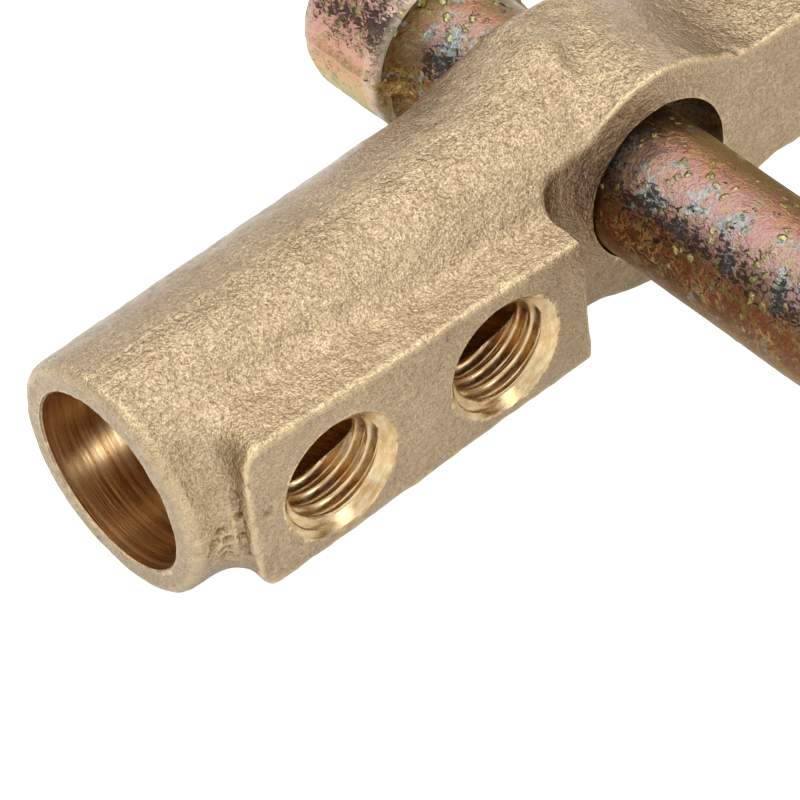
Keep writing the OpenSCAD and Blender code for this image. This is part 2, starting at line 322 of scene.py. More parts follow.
def facing_out(points, faces):
    """the faces, turned over if they enclose a negative volume"""
    volume = 0.0
    for f in faces:
        for k in range(1, f.shape[1] - 1):
            cross = np.cross(points[f[:, k]], points[f[:, k + 1]])
            volume += np.einsum("ij,ij->i", points[f[:, 0]], cross).sum()
    return [f[:, ::-1] for f in faces] if volume < 0 else faces


# each returns a function from (radius, angle, height) to points about an axis
def along_x(cy, cz):
    return lambda r, th, h: np.stack([h, cy + r * np.cos(th), cz + r * np.sin(th)], -1)


def along_y(cx, cz):
    return lambda r, th, h: np.stack([cx + r * np.sin(th), h, cz + r * np.cos(th)], -1)


def along_z(cx, cy):
    return lambda r, th, h: np.stack([cx + r * np.cos(th), cy + r * np.sin(th), h], -1)


def turn_angles(segments):
    return np.linspace(0, 2 * np.pi, segments, endpoint=False)[None, :]


def grid_tube(name, radii, heights, place):
    """tube from arrays of rings x segments, closed by a point at each end"""
    rings, segments = radii.shape
    grid = place(radii, turn_angles(segments), heights).reshape(-1, 3)
    points = np.vstack([grid, grid[:segments].mean(0), grid[-segments:].mean(0)])
    i = np.arange(rings - 1)[:, None] * segments
    j = np.arange(segments)
    k = (j + 1) % segments
    quads = np.stack([i + j, i + k, i + segments + k, i + segments + j], -1).reshape(-1, 4)
    last = (rings - 1) * segments
    first_cap = np.stack([np.full(segments, len(grid)), k, j], 1)
    last_cap = np.stack([np.full(segments, len(grid) + 1), last + j, last + k], 1)
    faces = [quads, np.vstack([first_cap, last_cap])]
    return mesh_object(name, points, facing_out(points, faces))


def resample(profile, step):
    """even points along a profile, corners kept"""
    out = [np.array(profile[0], float)]
    for a, b in zip(profile[:-1], profile[1:]):
        a, b = np.array(a, float), np.array(b, float)
        n = max(1, int(math.ceil(np.linalg.norm(b - a) / step)))
        for k in range(1, n + 1):
            out.append(a + (b - a) * k / n)
    return np.array(out)


def soften(profile, r):
    """replace each corner of a profile by a small round"""
    p = [np.array(q, float) for q in profile]
    out = [p[0]]
    for a, b, c in zip(p[:-2], p[1:-1], p[2:]):
        back, ahead = a - b, c - b
        back_length, ahead_length = np.linalg.norm(back), np.linalg.norm(ahead)
        if back_length < 1e-6 or ahead_length < 1e-6:
            continue
        back, ahead = back / back_length, ahead / ahead_length
        if np.dot(back, ahead) < -0.985:
            out.append(b)
            continue
        t = min(r, back_length * 0.45, ahead_length * 0.45)
        for s in np.linspace(0, 1, 6):
            out.append((1 - s) ** 2 * (b + back * t) + 2 * s * (1 - s) * b
                       + s * s * (b + ahead * t))
    out.append(p[-1])
    return out


def arc(centre, radii, start, end, count):
    """profile points on an ellipse between two angles in degrees"""
    turns = [math.radians(a) for a in np.linspace(start, end, count)]
    return [(centre[0] + radii[0] * math.cos(a), centre[1] + radii[1] * math.sin(a))
            for a in turns]


def lathe(name, profile, segments, step, place, shape=None, skin=None, edge=0.0):
    """turned solid: profile of (radius, height) from one end of the axis to the other

    shape(radii, heights, angles) changes the rings; skin(points, heights) is then added
    along the profile's normal; edge rounds the profile's corners.
    """
    line = resample(soften(profile, edge) if edge else profile, step)
    line = line[line[:, 0] > 1e-4]
    radii = np.broadcast_to(line[:, :1], (len(line), segments)).copy()
    heights = np.broadcast_to(line[:, 1:], (len(line), segments)).copy()
    angles = turn_angles(segments)
    if shape is not None:
        radii, heights = shape(radii, heights, angles)
    if skin is not None:
        t = np.gradient(line, axis=0)
        n = np.stack([t[:, 1], -t[:, 0]], 1)
        n /= np.maximum(np.linalg.norm(n, axis=1, keepdims=True), 1e-9)
        if (n[:, 0] * np.abs(t[:, 1])).sum() < 0:
            n = -n
        points = place(radii, angles, heights).reshape(-1, 3)
        depth = skin(points, heights.ravel()).reshape(radii.shape)
        radii = np.maximum(radii + n[:, :1] * depth, 0.02)
        heights = heights + n[:, 1:] * depth
    return grid_tube(name, radii, heights, place)


def thread_radius(y, angles, crest, depth, pitch, flat):
    """trapezoid thread, right handed about +Y; angles turn from +Z to +X"""
    phase = np.mod(y / pitch - angles / (2 * np.pi), 1.0)
    t = np.abs(phase - 0.5) * 2                  # 0 at the crest's middle, 1 at the root's
    return crest - depth * smoothstep(t, flat, 1 - flat)


# --------------------------------------------------------------- cutting and finishing
def drill(radius, start, end, segments, step, place):
    """plain round cutter"""
    profile = [(0, start), (radius, start), (radius, end), (0, end)]
    return lathe("drill_cutter", profile, segments, step, place)


def ring_cutter(rings, segments, place):
    """cutter from a few (radius, height) rings"""
    rings = np.array(rings, float)
    radii, heights = (np.repeat(rings[:, k:k + 1], segments, axis=1) for k in (0, 1))
    return grid_tube("ring_cutter", radii, heights, place)


def pin_cutter():
    """upright hole of the pin through carrier and bar"""
    return ring_cutter([(PIN_HOLE_R, -16.0), (PIN_HOLE_R, 16.0)], 40, along_z(BAR_X, CARRIER_Y))


def cut(obj, cutters):
    """subtract the cutters one by one and delete them"""
    for cutter in cutters:
        modifier = obj.modifiers.new("cut", "BOOLEAN")
        modifier.operation = "DIFFERENCE"
        modifier.object = cutter
        modifier.solver = "MANIFOLD"
        bpy.context.view_layer.update()
        depsgraph = bpy.context.evaluated_depsgraph_get()
        mesh = bpy.data.meshes.new_from_object(obj.evaluated_get(depsgraph))
        obj.modifiers.clear()
        old = obj.data
        obj.data = mesh
        bpy.data.meshes.remove(old)
        spent = cutter.data
        bpy.data.objects.remove(cutter)
        bpy.data.meshes.remove(spent)
    obj.data.name = obj.name


def face_data(mesh):
    """face centres (mm from the hub's centre) and normals, as x, y, z rows"""
    arrays = []
    for name in ("center", "normal"):
        flat = np.empty(len(mesh.polygons) * 3, np.float32)
        mesh.polygons.foreach_get(name, flat)
        arrays.append(flat.reshape(-1, 3))
    centres, normals = arrays
    return (centres / MM - HUB_CENTRE).T, normals.T


def finish(obj, node, rides, materials, angle, index=None):
    """shade a mesh and put it in the place of its CAD piece

    Edges sharper than angle (degrees) stay crisp; index is the material of each face.
    """
    mesh = obj.data
    if index is None:
        index = np.zeros(len(mesh.polygons), np.int64)
    mesh.materials.clear()
    for material in materials:
        mesh.materials.append(material)
    mesh.polygons.foreach_set("material_index", index.astype(np.int32))
    mesh.polygons.foreach_set("use_smooth", np.ones(len(mesh.polygons), bool))
    mesh.set_sharp_from_angle(angle=math.radians(angle))
    if index.any():
        # the rim between two finishes is a crisp edge
        loop_edge = np.empty(len(mesh.loops), np.int32)
        mesh.loops.foreach_get("edge_index", loop_edge)
        loops = np.empty(len(mesh.polygons), np.int32)
        mesh.polygons.foreach_get("loop_total", loops)
        loop_index = np.repeat(index, loops)
        highest = np.zeros(len(mesh.edges), np.int64)
        lowest = np.full(len(mesh.edges), 99, np.int64)
        np.maximum.at(highest, loop_edge, loop_index)
        np.minimum.at(lowest, loop_edge, loop_index)
        attribute = (mesh.attributes.get("sharp_edge")
                     or mesh.attributes.new("sharp_edge", "BOOLEAN", "EDGE"))
        sharp = np.zeros(len(mesh.edges), bool)
        attribute.data.foreach_get("value", sharp)
        attribute.data.foreach_set("value", sharp | (highest != lowest))
    mesh.update()
    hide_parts(node)
    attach(obj, rides)


# --------------------------------------------------------------- shader graphs
def rgb(*display):
    """display colour 0-255 to linear"""
    return tuple([((c / 255 + 0.055) / 1.055) ** 2.4 if c > 10 else c / 255 / 12.92
                  for c in display] + [1.0])


class Value:
    """A socket or constant in a graph; arithmetic on it adds Math nodes."""

    def __init__(self, graph, source):
        self.graph = graph
        self.source = source

    def __add__(self, other):
        return self.graph.math("ADD", self, other)

    def __sub__(self, other):
        return self.graph.math("SUBTRACT", self, other)

    def __rsub__(self, other):
        return self.graph.math("SUBTRACT", other, self)

    def __mul__(self, other):
        return self.graph.math("MULTIPLY", self, other)

    def __truediv__(self, other):
        return self.graph.math("DIVIDE", self, other)

    def __abs__(self):
        return self.graph.math("ABSOLUTE", self)

    def clamped(self):
        """limit the Math node that made this value to 0..1"""
        self.source.node.use_clamp = True
        return self

    def peak(self, centre, reach):
        """1 at centre, falling to 0 at reach on either side"""
        return (1.0 - abs((self - centre) / reach)).clamped()

    def remap(self, start, end, low, high):
        """low at start, high at end"""
        return self.graph.value("ShaderNodeMapRange", {
            "Value": self, "From Min": start, "From Max": end, "To Min": low, "To Max": high})

    def mask(self, zero, one):
        """0 where the value is `zero`, 1 where it is `one`"""
        return self.remap(zero, one, 0.0, 1.0)

    def mix(self, under, over):
        """colour `under` where this is 0, `over` where it is 1"""
        return self.graph.value("ShaderNodeMix", {0: self, 6: under, 7: over}, output=2,
                                data_type="RGBA", clamp_factor=True)

    def ramp(self, *stops):
        """colour from stops of (position, red, green, blue)"""
        node = self.graph.node("ShaderNodeValToRGB", {"Fac": self})
        elements = node.color_ramp.elements
        while len(elements) > 1:
            elements.remove(elements[-1])
        elements[0].position = stops[0][0]
        elements[0].color = rgb(*stops[0][1:])
        for position, *display in stops[1:]:
            elements.new(position).color = rgb(*display)
        return Value(self.graph, node.outputs["Color"])

    def bump(self, distance, strength=1.0, over=None):
        """normal with this value as height (distance in metres)"""
        inputs = {"Height": self, "Distance": distance, "Strength": strength}
        if over is not None:
            inputs["Normal"] = over
        return self.graph.value("ShaderNodeBump", inputs)


class Graph:
    """The emptied node tree of a material or world."""

    def __init__(self, owner):
        owner.use_nodes = True
        self.tree = owner.node_tree
        self.tree.nodes.clear()

    def feed(self, socket, source):
        if isinstance(source, Value):
            source = source.source
        if isinstance(source, bpy.types.NodeSocket):
            self.tree.links.new(source, socket)
        else:
            socket.default_value = source

    def node(self, kind, inputs=None, **settings):
        node = self.tree.nodes.new(kind)
        for name, setting in settings.items():
            setattr(node, name, setting)
        for key, source in (inputs or {}).items():
            self.feed(node.inputs[key], source)
        return node

    def value(self, kind, inputs=None, output=0, **settings):
        return Value(self, self.node(kind, inputs, **settings).outputs[output])

    def math(self, operation, *operands):
        return self.value("ShaderNodeMath", dict(enumerate(operands)), operation=operation)

    def vector_math(self, operation, first, second, output=0):
        return self.value("ShaderNodeVectorMath", {0: first, 1: second}, output,
                          operation=operation)

    def camera_ray(self):
        return self.value("ShaderNodeLightPath", output="Is Camera Ray")


class Material(Graph):
    """A Principled material patterned by object coordinates (metres)."""

    def __init__(self, name):
        self.material = bpy.data.materials.new(name)
        super().__init__(self.material)
        output = self.node("ShaderNodeOutputMaterial")
        self.bsdf = self.node("ShaderNodeBsdfPrincipled")
        self.feed(output.inputs[0], self.bsdf.outputs[0])
        self.place = self.value("ShaderNodeTexCoord", output="Object")

    def noise(self, scale=1.0, detail=3, rough=0.5, warp=0.0, stretch=None, output="Fac"):
        """noise texture; stretch scales the coordinates along each axis first"""
        place = self.place
        if stretch:
            place = self.value("ShaderNodeMapping", {"Vector": place, "Scale": stretch})
        return self.value("ShaderNodeTexNoise", {
            "Vector": place, "Scale": scale, "Detail": detail, "Roughness": rough,
            "Distortion": warp}, output)

    def voronoi(self, place, scale):
        return self.value("ShaderNodeTexVoronoi", {"Vector": place, "Scale": scale}, "Distance")

    def pointiness(self):
        return self.value("ShaderNodeNewGeometry", output="Pointiness")

    def finish(self, colour, roughness, normal, metallic=1.0):
        for key, source in (("Base Color", colour), ("Metallic", metallic),
                            ("Roughness", roughness), ("Normal", normal)):
            self.feed(self.bsdf.inputs[key], source)
        return self.material


# --------------------------------------------------------------- brass and copper
def cast_brass():
    mat = Material("cast_brass")
    big = mat.noise(scale=60, rough=0.55)
    mid = mat.noise(scale=420, rough=0.6)
    fine = mat.noise(scale=2700, rough=0.62, warp=0.3)
    tiny = mat.noise(scale=5600, rough=0.68, warp=0.2)
    # crinkled skin left by the moulding sand and the blasting
    ridge = (1.0 - abs(fine - 0.5) * 5.0).clamped()
    lines = mat.noise(rough=0.6, warp=0.5, stretch=(160, 1500, 1500))
    pits = mat.voronoi(mat.place, scale=560).remap(0.02, 0.13, low=1.0, high=0.0)
    pits = pits * mat.noise(scale=140, detail=2).mask(zero=0.62, one=0.70)
    point = mat.pointiness()
    # convex edges get a painted highlight, concave hollows get painted shade
    edge = point.mask(zero=0.504, one=0.550)
    hollow_shade = point.mask(zero=0.495, one=0.42)
    colour = big.ramp((0.30, 182, 161, 131), (0.48, 191, 170, 138), (0.62, 199, 177, 144),
                      (0.78, 185, 163, 133))
    # fine dark grain and painted glints of light on the grain, then broader brown patches
    colour = (tiny.mask(zero=0.52, one=0.38) * 0.42).mix(colour, rgb(132, 102, 68))
    colour = (tiny.mask(zero=0.54, one=0.66) * 0.50).mix(colour, rgb(234, 212, 166))
    colour = (mid.mask(zero=0.40, one=0.66) * 0.22).mix(colour, rgb(160, 130, 96))
    # painted shade in the hollows, painted highlight on the edges, near-black pits
    colour = (hollow_shade * 0.55).mix(colour, rgb(104, 78, 50))
    colour = (edge * 0.80).mix(colour, rgb(236, 212, 166))
    colour = (pits * 0.85).mix(colour, rgb(66, 48, 32))
    roughness = mid.remap(0.3, 0.7, low=0.14, high=0.21) + edge * -0.03
    normal = tiny.bump(distance=0.000095)
    normal = (fine + ridge * 0.12).bump(distance=0.00018, over=normal)
    normal = (lines - pits * 1.2).bump(distance=0.00010, strength=0.7, over=normal)
    normal = mid.bump(distance=0.00034, strength=0.7, over=normal)
    return mat.finish(colour, roughness, normal)


def bored_brass():
    """plain bores: fine rings left by the tool, darker and redder inside"""
    mat = Material("bored_brass")
    rings = mat.noise(rough=0.7, stretch=(5200, 60, 60))
    lines = mat.noise(detail=2, rough=0.6, stretch=(1500, 25, 25))
    blotches = mat.noise(scale=160, rough=0.6)
    colour = lines.mask(zero=0.35, one=0.7).mix(rgb(206, 162, 106), rgb(250, 220, 172))
    colour = blotches.remap(0.45, 0.75, low=0.0, high=0.7).mix(colour, rgb(214, 164, 106))
    roughness = rings.remap(0.3, 0.7, low=0.20, high=0.36)
    return mat.finish(colour, roughness, (rings + lines * 1.6).bump(distance=0.000030))


def cut_brass():
    """bright cut metal of threads and countersinks"""
    mat = Material("cut_brass")
    marks = mat.noise(rough=0.65, stretch=(900, 5200, 900))
    blotches = mat.noise(scale=420, rough=0.6)
    colour = marks.mask(zero=0.35, one=0.7).mix(rgb(212, 180, 130), rgb(242, 222, 182))
    colour = blotches.mask(zero=0.5, one=0.75).mix(colour, rgb(196, 150, 92))
    roughness = marks.remap(0.3, 0.7, low=0.18, high=0.34)
    return mat.finish(colour, roughness, marks.bump(distance=0.000010))


def copper():
    mat = Material("contact_copper")
    milling = mat.noise(rough=0.65, stretch=(3600, 900, 260))
    blotches = mat.noise(scale=170, detail=4, rough=0.6, warp=0.5)
    spots = mat.noise(scale=900, rough=0.6)
    point = mat.pointiness()
    colour = blotches.mask(zero=0.4, one=0.7).mix(rgb(222, 150, 116), rgb(176, 104, 74))
    colour = spots.mask(zero=0.58, one=0.7).mix(colour, rgb(140, 88, 66))
    colour = point.mask(zero=0.52, one=0.6).mix(colour, rgb(244, 190, 156))
    roughness = blotches.remap(0.35, 0.7, low=0.24, high=0.42)
    return mat.finish(colour, roughness, (milling + spots * 0.5).bump(distance=0.000016))


# --------------------------------------------------------------- steel
def steel(name, light, dark, roughness):
    mat = Material(name)
    grain = mat.noise(scale=2600, rough=0.65)
    blotches = mat.noise(scale=300, detail=4, rough=0.6)
    point = mat.pointiness()
    colour = blotches.mask(zero=0.4, one=0.7).mix(light, dark)
    colour = point.mask(zero=0.52, one=0.62).mix(colour, rgb(225, 225, 222))
    roughness = grain.remap(0.3, 0.7, low=roughness, high=roughness + 0.14)
    return mat.finish(colour, roughness, grain.bump(distance=0.000008))


def film_noises(mat):
    """big, middling and fine patches of the zinc's film"""
    return (mat.noise(scale=95, rough=0.6, warp=0.6),
            mat.noise(scale=420, detail=4, rough=0.62, warp=0.8),
            mat.noise(scale=2300, rough=0.68, warp=0.4))


def turned_zinc():
    """yellow iridescent passivation on steel turned about Y"""
    mat = Material("yellow_zinc_turned")
    big, mid, fine = film_noises(mat)
    film = mat.value("ShaderNodeLayerWeight", {"Blend": 0.5}, "Facing")
    film = film + (big - 0.5) * 0.8
    film = film + (mid - 0.5) * 0.35
    colour = film.ramp((0.02, 200, 172, 126), (0.20, 206, 170, 128), (0.34, 204, 158, 128),
                       (0.46, 190, 160, 104), (0.60, 160, 150, 96), (0.80, 172, 150, 110))
    # dark specks, then pale worn edges
    black = mat.noise(scale=900, detail=4, rough=0.7).mask(zero=0.70, one=0.78)
    colour = (black * 0.6).mix(colour, rgb(70, 58, 44))
    pale_edge = mat.pointiness().mask(zero=0.53, one=0.62) * mid.mask(zero=0.35, one=0.6)
    colour = (pale_edge * 0.7).mix(colour, rgb(214, 204, 190))
    roughness = mid.remap(0.3, 0.7, low=0.20, high=0.34) + black * 0.3
    tool_marks = mat.noise(detail=2, rough=0.6, stretch=(900, 5200, 900))
    return mat.finish(colour, roughness, (fine * 0.4 + tool_marks).bump(distance=0.000014))


def head_film(along, film, mid, colour):
    """slide bar's colours at its head: returns the colour, head mask and the mask of the painted
    shade in the cove
    """
    def band(zero, one):
        """mask along the bar between two places measured from the head's rim"""
        return along.mask(zero=(HEAD_RIM_Y + zero) * MM, one=(HEAD_RIM_Y + one) * MM)

    # orange-pink, yellow below, grey towards the end
    head = band(-0.6, 0.2)
    end = along.mask(zero=(HEAD_END_Y - 3.6) * MM, one=(HEAD_END_Y - 1.2) * MM)
    head_colour = film.ramp(
        (0.00, 150, 140, 84), (0.12, 128, 100, 76), (0.22, 122, 92, 84), (0.30, 140, 104, 94),
        (0.37, 210, 158, 144), (0.44, 226, 172, 152), (0.50, 222, 172, 130),
        (0.545, 206, 186, 120), (0.60, 170, 164, 108), (0.72, 190, 148, 112),
        (0.86, 176, 160, 96), (1.0, 150, 140, 84))
    head_colour = (end * 0.55).mix(head_colour, rgb(178, 168, 152))
    colour = head.mix(colour, head_colour)
    # painted shade in the cove, a pale painted highlight (reflection of the overhead light) on
    # the rim
    cove_shade = band(-3.4, -2.2) * band(0.1, -0.5)
    colour = (cove_shade * 0.8).mix(colour, rgb(112, 90, 46))
    rim = band(-0.9, -0.3) * band(1.3, 0.6)
    colour = (rim * mid.mask(zero=0.35, one=0.55) * 0.7).mix(colour, rgb(232, 206, 188))
    return colour, head, cove_shade


def forged_zinc(name, across, centre, centre_z):
    """yellow iridescent passivation on a forged bar

    across is the level axis across the bar; centre and centre_z place the bar's axis
    in the CAD frame, in mm. The bar across X is the slide bar, with its own head colours.
    """
    mat = Material(name)
    slide_bar = across == "X"
    split = mat.node("ShaderNodeSeparateXYZ", {"Vector": mat.place})
    level, along, height = (Value(mat, split.outputs[axis])
                            for axis in ("XYZ" if slide_bar else "YXZ"))
    angle = mat.math("ARCTAN2", height - centre_z * MM, level - centre * MM)
    # share of a turn round the bar: 0 at +across, 0.25 on top
    turn = mat.math("FRACT", angle / (2 * math.pi) + 1.0)
    big, mid, fine = film_noises(mat)
    tiny = mat.noise(scale=5200, detail=2, rough=0.7)
    # film colour runs round the bar and wanders in patches
    film = turn + (big - 0.5) * 0.13
    film = film + (mid - 0.5) * 0.07
    colour = film.ramp(
        (0.00, 136, 116, 66), (0.09, 150, 128, 74), (0.16, 158, 128, 80), (0.215, 172, 122, 92),
        (0.26, 162, 126, 116), (0.34, 162, 130, 122), (0.385, 148, 114, 96), (0.42, 140, 86, 54),
        (0.50, 126, 76, 38), (0.545, 150, 106, 56), (0.575, 158, 138, 78), (0.66, 176, 156, 98),
        (0.76, 190, 144, 124), (0.88, 166, 146, 92), (1.0, 136, 116, 66))
    head = cove_shade = Value(mat, 0.0)
    if slide_bar:
        colour, head, cove_shade = head_film(along, film, mid, colour)

    # mottling: small cells of green and violet, then grey-blue film
    mottle = mat.noise(scale=1250, detail=4, rough=0.62, warp=0.9)
    colour = (mottle.mask(zero=0.54, one=0.60) * 0.45).mix(colour, rgb(150, 150, 92))
    colour = (mottle.mask(zero=0.44, one=0.38) * 0.22).mix(colour, rgb(178, 118, 124))
    upper = turn.peak(centre=0.335, reach=0.13)
    grey = mat.noise(scale=330, detail=5, rough=0.72, warp=0.3) + upper * 0.10
    grey = grey.mask(zero=0.60, one=0.645)
    grey = grey * (1.0 - head * 0.8)
    grey_film = fine.mask(zero=0.4, one=0.6).mix(rgb(118, 130, 130), rgb(170, 176, 168))
    colour = (grey * 0.85).mix(colour, grey_film)

    # black crackle, thickest in a band on the upper -across side
    band = turn.peak(centre=0.392, reach=0.075)
    patch = mat.noise(scale=330, rough=0.6, warp=0.6)
    crackle = mat.noise(scale=2300, detail=4, rough=0.72, warp=1.2,
                        stretch=(1.0, 0.55, 1.0) if slide_bar else (0.55, 1.0, 1.0))
    crackle = crackle + band * 0.19
    crackle = crackle + (patch - 0.5) * 0.30
    if slide_bar:
        crackle = crackle + head * turn.peak(centre=0.24, reach=0.10) * 0.12
    black = crackle.mask(zero=0.628, one=0.660)
    # no black crackle under the painted shade of the cove
    black = black * (1.0 - cove_shade * 0.9)
    colour = (black * 0.88).mix(colour, rgb(40, 36, 34))
    if slide_bar:
        # painted shade on the bar's upper side, on both sides of the hub where the bar passes
        # through it
        ragged = along + (mid - 0.5) * 0.010
        near = (ragged.mask(zero=(-HUB_HALF - 3.4) * MM, one=(-HUB_HALF - 1.0) * MM)
                * ragged.mask(zero=(HUB_HALF + 3.0) * MM, one=HUB_HALF * MM))
        side = abs(turn - 0.31).mask(zero=0.20, one=0.10)
        colour = (near * side * 0.62).mix(colour, rgb(62, 50, 38))

    # golden seams over the brown side
    seam = mat.noise(scale=900, detail=4, rough=0.6, warp=0.8)
    seam = (1.0 - abs(seam - 0.5) * 22.0).clamped()
    seam = seam * turn.peak(centre=0.48, reach=0.10) * patch.mask(zero=0.42, one=0.58)
    colour = (seam * 0.75).mix(colour, rgb(222, 184, 112))

    # raised specks of scale under the plating, each ringed by painted shade
    jitter = mat.noise(scale=1700.0, detail=2.0, output="Color")
    jitter = mat.vector_math("MULTIPLY", jitter, (0.0009, 0.0009, 0.0009))
    wobbled = mat.vector_math("ADD", mat.place, jitter)

    def cells(zero, one):
        return mat.voronoi(wobbled, scale=820).mask(zero, one)

    def clusters():
        return mat.noise(scale=300, detail=2).mask(zero=0.44, one=0.54)

    specks = cells(zero=0.30, one=0.14) * clusters()
    speck_shade = cells(zero=0.40, one=0.30) * (1.0 - specks)
    colour = (speck_shade * clusters() * 0.35).mix(colour, rgb(72, 66, 40))
    speck_colour = mid.mask(zero=0.4, one=0.6).mix(rgb(150, 152, 78), rgb(214, 206, 140))
    colour = (specks * 0.85).mix(colour, speck_colour)
    # pale edges: partly wear of the plating, partly a painted highlight where the edges catch
    # the light
    pale_edge = mat.pointiness().mask(zero=0.54, one=0.62) * mid.mask(zero=0.30, one=0.55)
    colour = (pale_edge * 0.75).mix(colour, rgb(228, 200, 184))

    roughness = fine.remap(0.3, 0.7, low=0.26, high=0.42) + black * 0.2
    roughness = roughness + grey * 0.08
    normal = (fine + tiny * 0.6).bump(distance=0.00010)
    normal = (specks * 1.0 + (seam * 0.5 - black * 0.6)).bump(distance=0.00012, over=normal)
    normal = mid.bump(distance=0.00014, strength=0.6, over=normal)
    return mat.finish(colour, roughness, normal, metallic=0.95)


BRASS = [cast_brass(), bored_brass(), cut_brass()]
CAST, BORED, CUT = range(3)             # places in BRASS
BAR_ZINC = forged_zinc("yellow_zinc_forged", "X", BAR_X + HUB_CENTRE[0], BAR_Z)
TOMMY_ZINC = forged_zinc("yellow_zinc_tommy", "Y", TOMMY_Y, 0.0)
TURNED_ZINC = turned_zinc()
COPPER = copper()
SCREW_STEEL = steel("plated_screw", rgb(196, 194, 182), rgb(150, 146, 130), roughness=0.24)
SPRING_STEEL = steel("spring_steel", rgb(112, 110, 112), rgb(74, 72, 74), roughness=0.30)
BALL_STEEL = steel("ball_steel", rgb(214, 216, 220), rgb(190, 192, 196), roughness=0.08)


# --------------------------------------------------------------- brass castings
def cast_skin(points, seed):
    """uneven skin of a sand casting, outwards in mm"""
    depth = 0.10 * rough_noise(points, 9.0, seed) + 0.065 * rough_noise(points, 2.4, seed + 5)
    depth += 0.055 * rough_noise(points, 0.95, seed + 9)
    pits = bumps(points, 3.1, 0.25, 0.55, 0.10, seed + 40)
    grit = bumps(points, 1.9, 0.18, 0.42, 0.22, seed + 60)
    return depth - 0.22 * pits + 0.06 * grit - 0.06


def arm_field(points):
    x, y, z = points.T
    # tapered round socket
    socket_r = 10.30 + (x - MOUTH_X) * 0.0062
    socket = rounded(np.hypot(y, z) - socket_r, span(x, MOUTH_X, -3.5), 1.0)
    # clamping-screw pad: its -X end drafted, its upper edge falling towards the hub
    pad_end = -46.6 + 0.26 * (y - PAD_FACE_Y)
    pad_top = 8.40 - 0.0585 * (x + 46)
    # corners: soft towards the mouth, tight towards the hub
    corner = 0.7 + 1.3 * smoothstep(-x, 38.0, 42.0)
    pad = rounded(span(x, pad_end, -12.4), span(z, -6.52, pad_top), corner)
    pad = rounded(pad, np.maximum(PAD_FACE_Y - y, y + 2.0), 0.40)
    body = smooth_min(socket, pad, 0.9 + 2.2 * smoothstep(-x, 42.8, 46.0))
    # plate of hub, beam and jaw, standing across the bar
    hub = np.hypot(x, z) - HUB_R
    beam = rounded(span(x, 2.0, 54.0), np.abs(z) - 6.45, 1.0)
    jaw = rounded(span(x, 40.0, TIP_X), np.abs(z) - 11.95, 3.2)
    outline = smooth_min(smooth_min(hub, beam, 3.4), jaw, 6.5)
    plate = rounded(outline, np.abs(y) - HUB_HALF, 0.42)
    body = smooth_min(body, plate, 1.1 + 4.4 * smoothstep(y, -3.0, 3.0))
    # the -Y side of neck and hub lies back from the pad
    recess = smooth_max(y + HUB_HALF, -12.8 - x, 2.8)
    body = smooth_max(body, -recess, 0.45)
    seat = rounded(np.abs(x - SCREW_X) - 12.0, np.abs(z) - 12.0, 1.2)
    return smooth_min(body, rounded(seat, span(y, SHOE_SEAT_Y, 0), 0.3), 0.7)


# pores, most of them where the pad's end runs into the socket: centre, radius, depth
PORES = [
    ((-48.1, -10.4, 0.35), 0.50, 0.42), ((-47.7, -10.55, -0.65), 0.42, 0.36),
    ((-48.75, -10.3, -0.55), 0.55, 0.45), ((-47.95, -10.3, -1.75), 0.45, 0.38),
    ((-49.0, -10.2, -1.35), 0.40, 0.34), ((-47.8, -10.2, -2.7), 0.50, 0.40),
    ((-47.3, -10.3, -3.25), 0.36, 0.30), ((-44.7, -12.3, 1.3), 0.42, 0.38),
    ((-45.2, -12.3, 1.3), 0.32, 0.25), ((9.2, -6.4, 7.3), 0.6, 0.28)]
# fold line between the pad's end and its face
FOLD = np.array([(-46.75, -10.7, 3.7), (-46.9, -11.2, 1.4), (-46.95, -11.25, -0.7),
                 (-46.85, -11.1, -2.4)])
FOLD_R, FOLD_DEPTH = 0.42, 0.34
COUNTERSINK_R = 5.56


def arm_skin(points):
    depth = cast_skin(points, 3)
    for centre, radius, dip in PORES:
        t = np.linalg.norm(points - np.array(centre), axis=1) / radius
        depth -= dip * np.clip(1 - t * t, 0, 1)
    for a, b in zip(FOLD[:-1], FOLD[1:]):
        k = np.clip(((points - a) @ (b - a)) / ((b - a) @ (b - a)), 0, 1)
        t = np.linalg.norm(points - a - k[:, None] * (b - a), axis=1) / FOLD_R
        depth -= FOLD_DEPTH * np.clip(1 - t * t, 0, 1)
    # long shallow casting lines down the socket's upper side
    lines = value_noise(points, (60.0, 0.9, 0.9), 91)
    lines = lines * smoothstep(points[:, 2], 1.0, 6.0) * smoothstep(-points[:, 0], 8.0, 14.0)
    return depth + 0.035 * lines


def clamp_thread_cutter(screw_x):
    """M10 tap with its countersink, run in from the pad's face"""
    y = np.concatenate([np.arange(PAD_FACE_Y - 2.0, PAD_FACE_Y + 0.9, 0.12),
                        np.arange(PAD_FACE_Y + 0.9, -4.2, 0.10)])
    segments = 96
    y = np.broadcast_to(y[:, None], (len(y), segments)).copy()
    radii = thread_radius(y, turn_angles(segments), crest=5.02, depth=0.80, pitch=1.5,
                          flat=0.10)
    cone = COUNTERSINK_R - np.maximum(y - PAD_FACE_Y, -0.3) * 1.35
    radii = np.where(y < PAD_FACE_Y + 0.9, np.maximum(radii, cone), radii)
    radii = np.where(y < PAD_FACE_Y, COUNTERSINK_R + (PAD_FACE_Y - y) * 0.25, radii)
    return grid_tube("tap_cutter", radii, y, along_y(screw_x, 0.0))


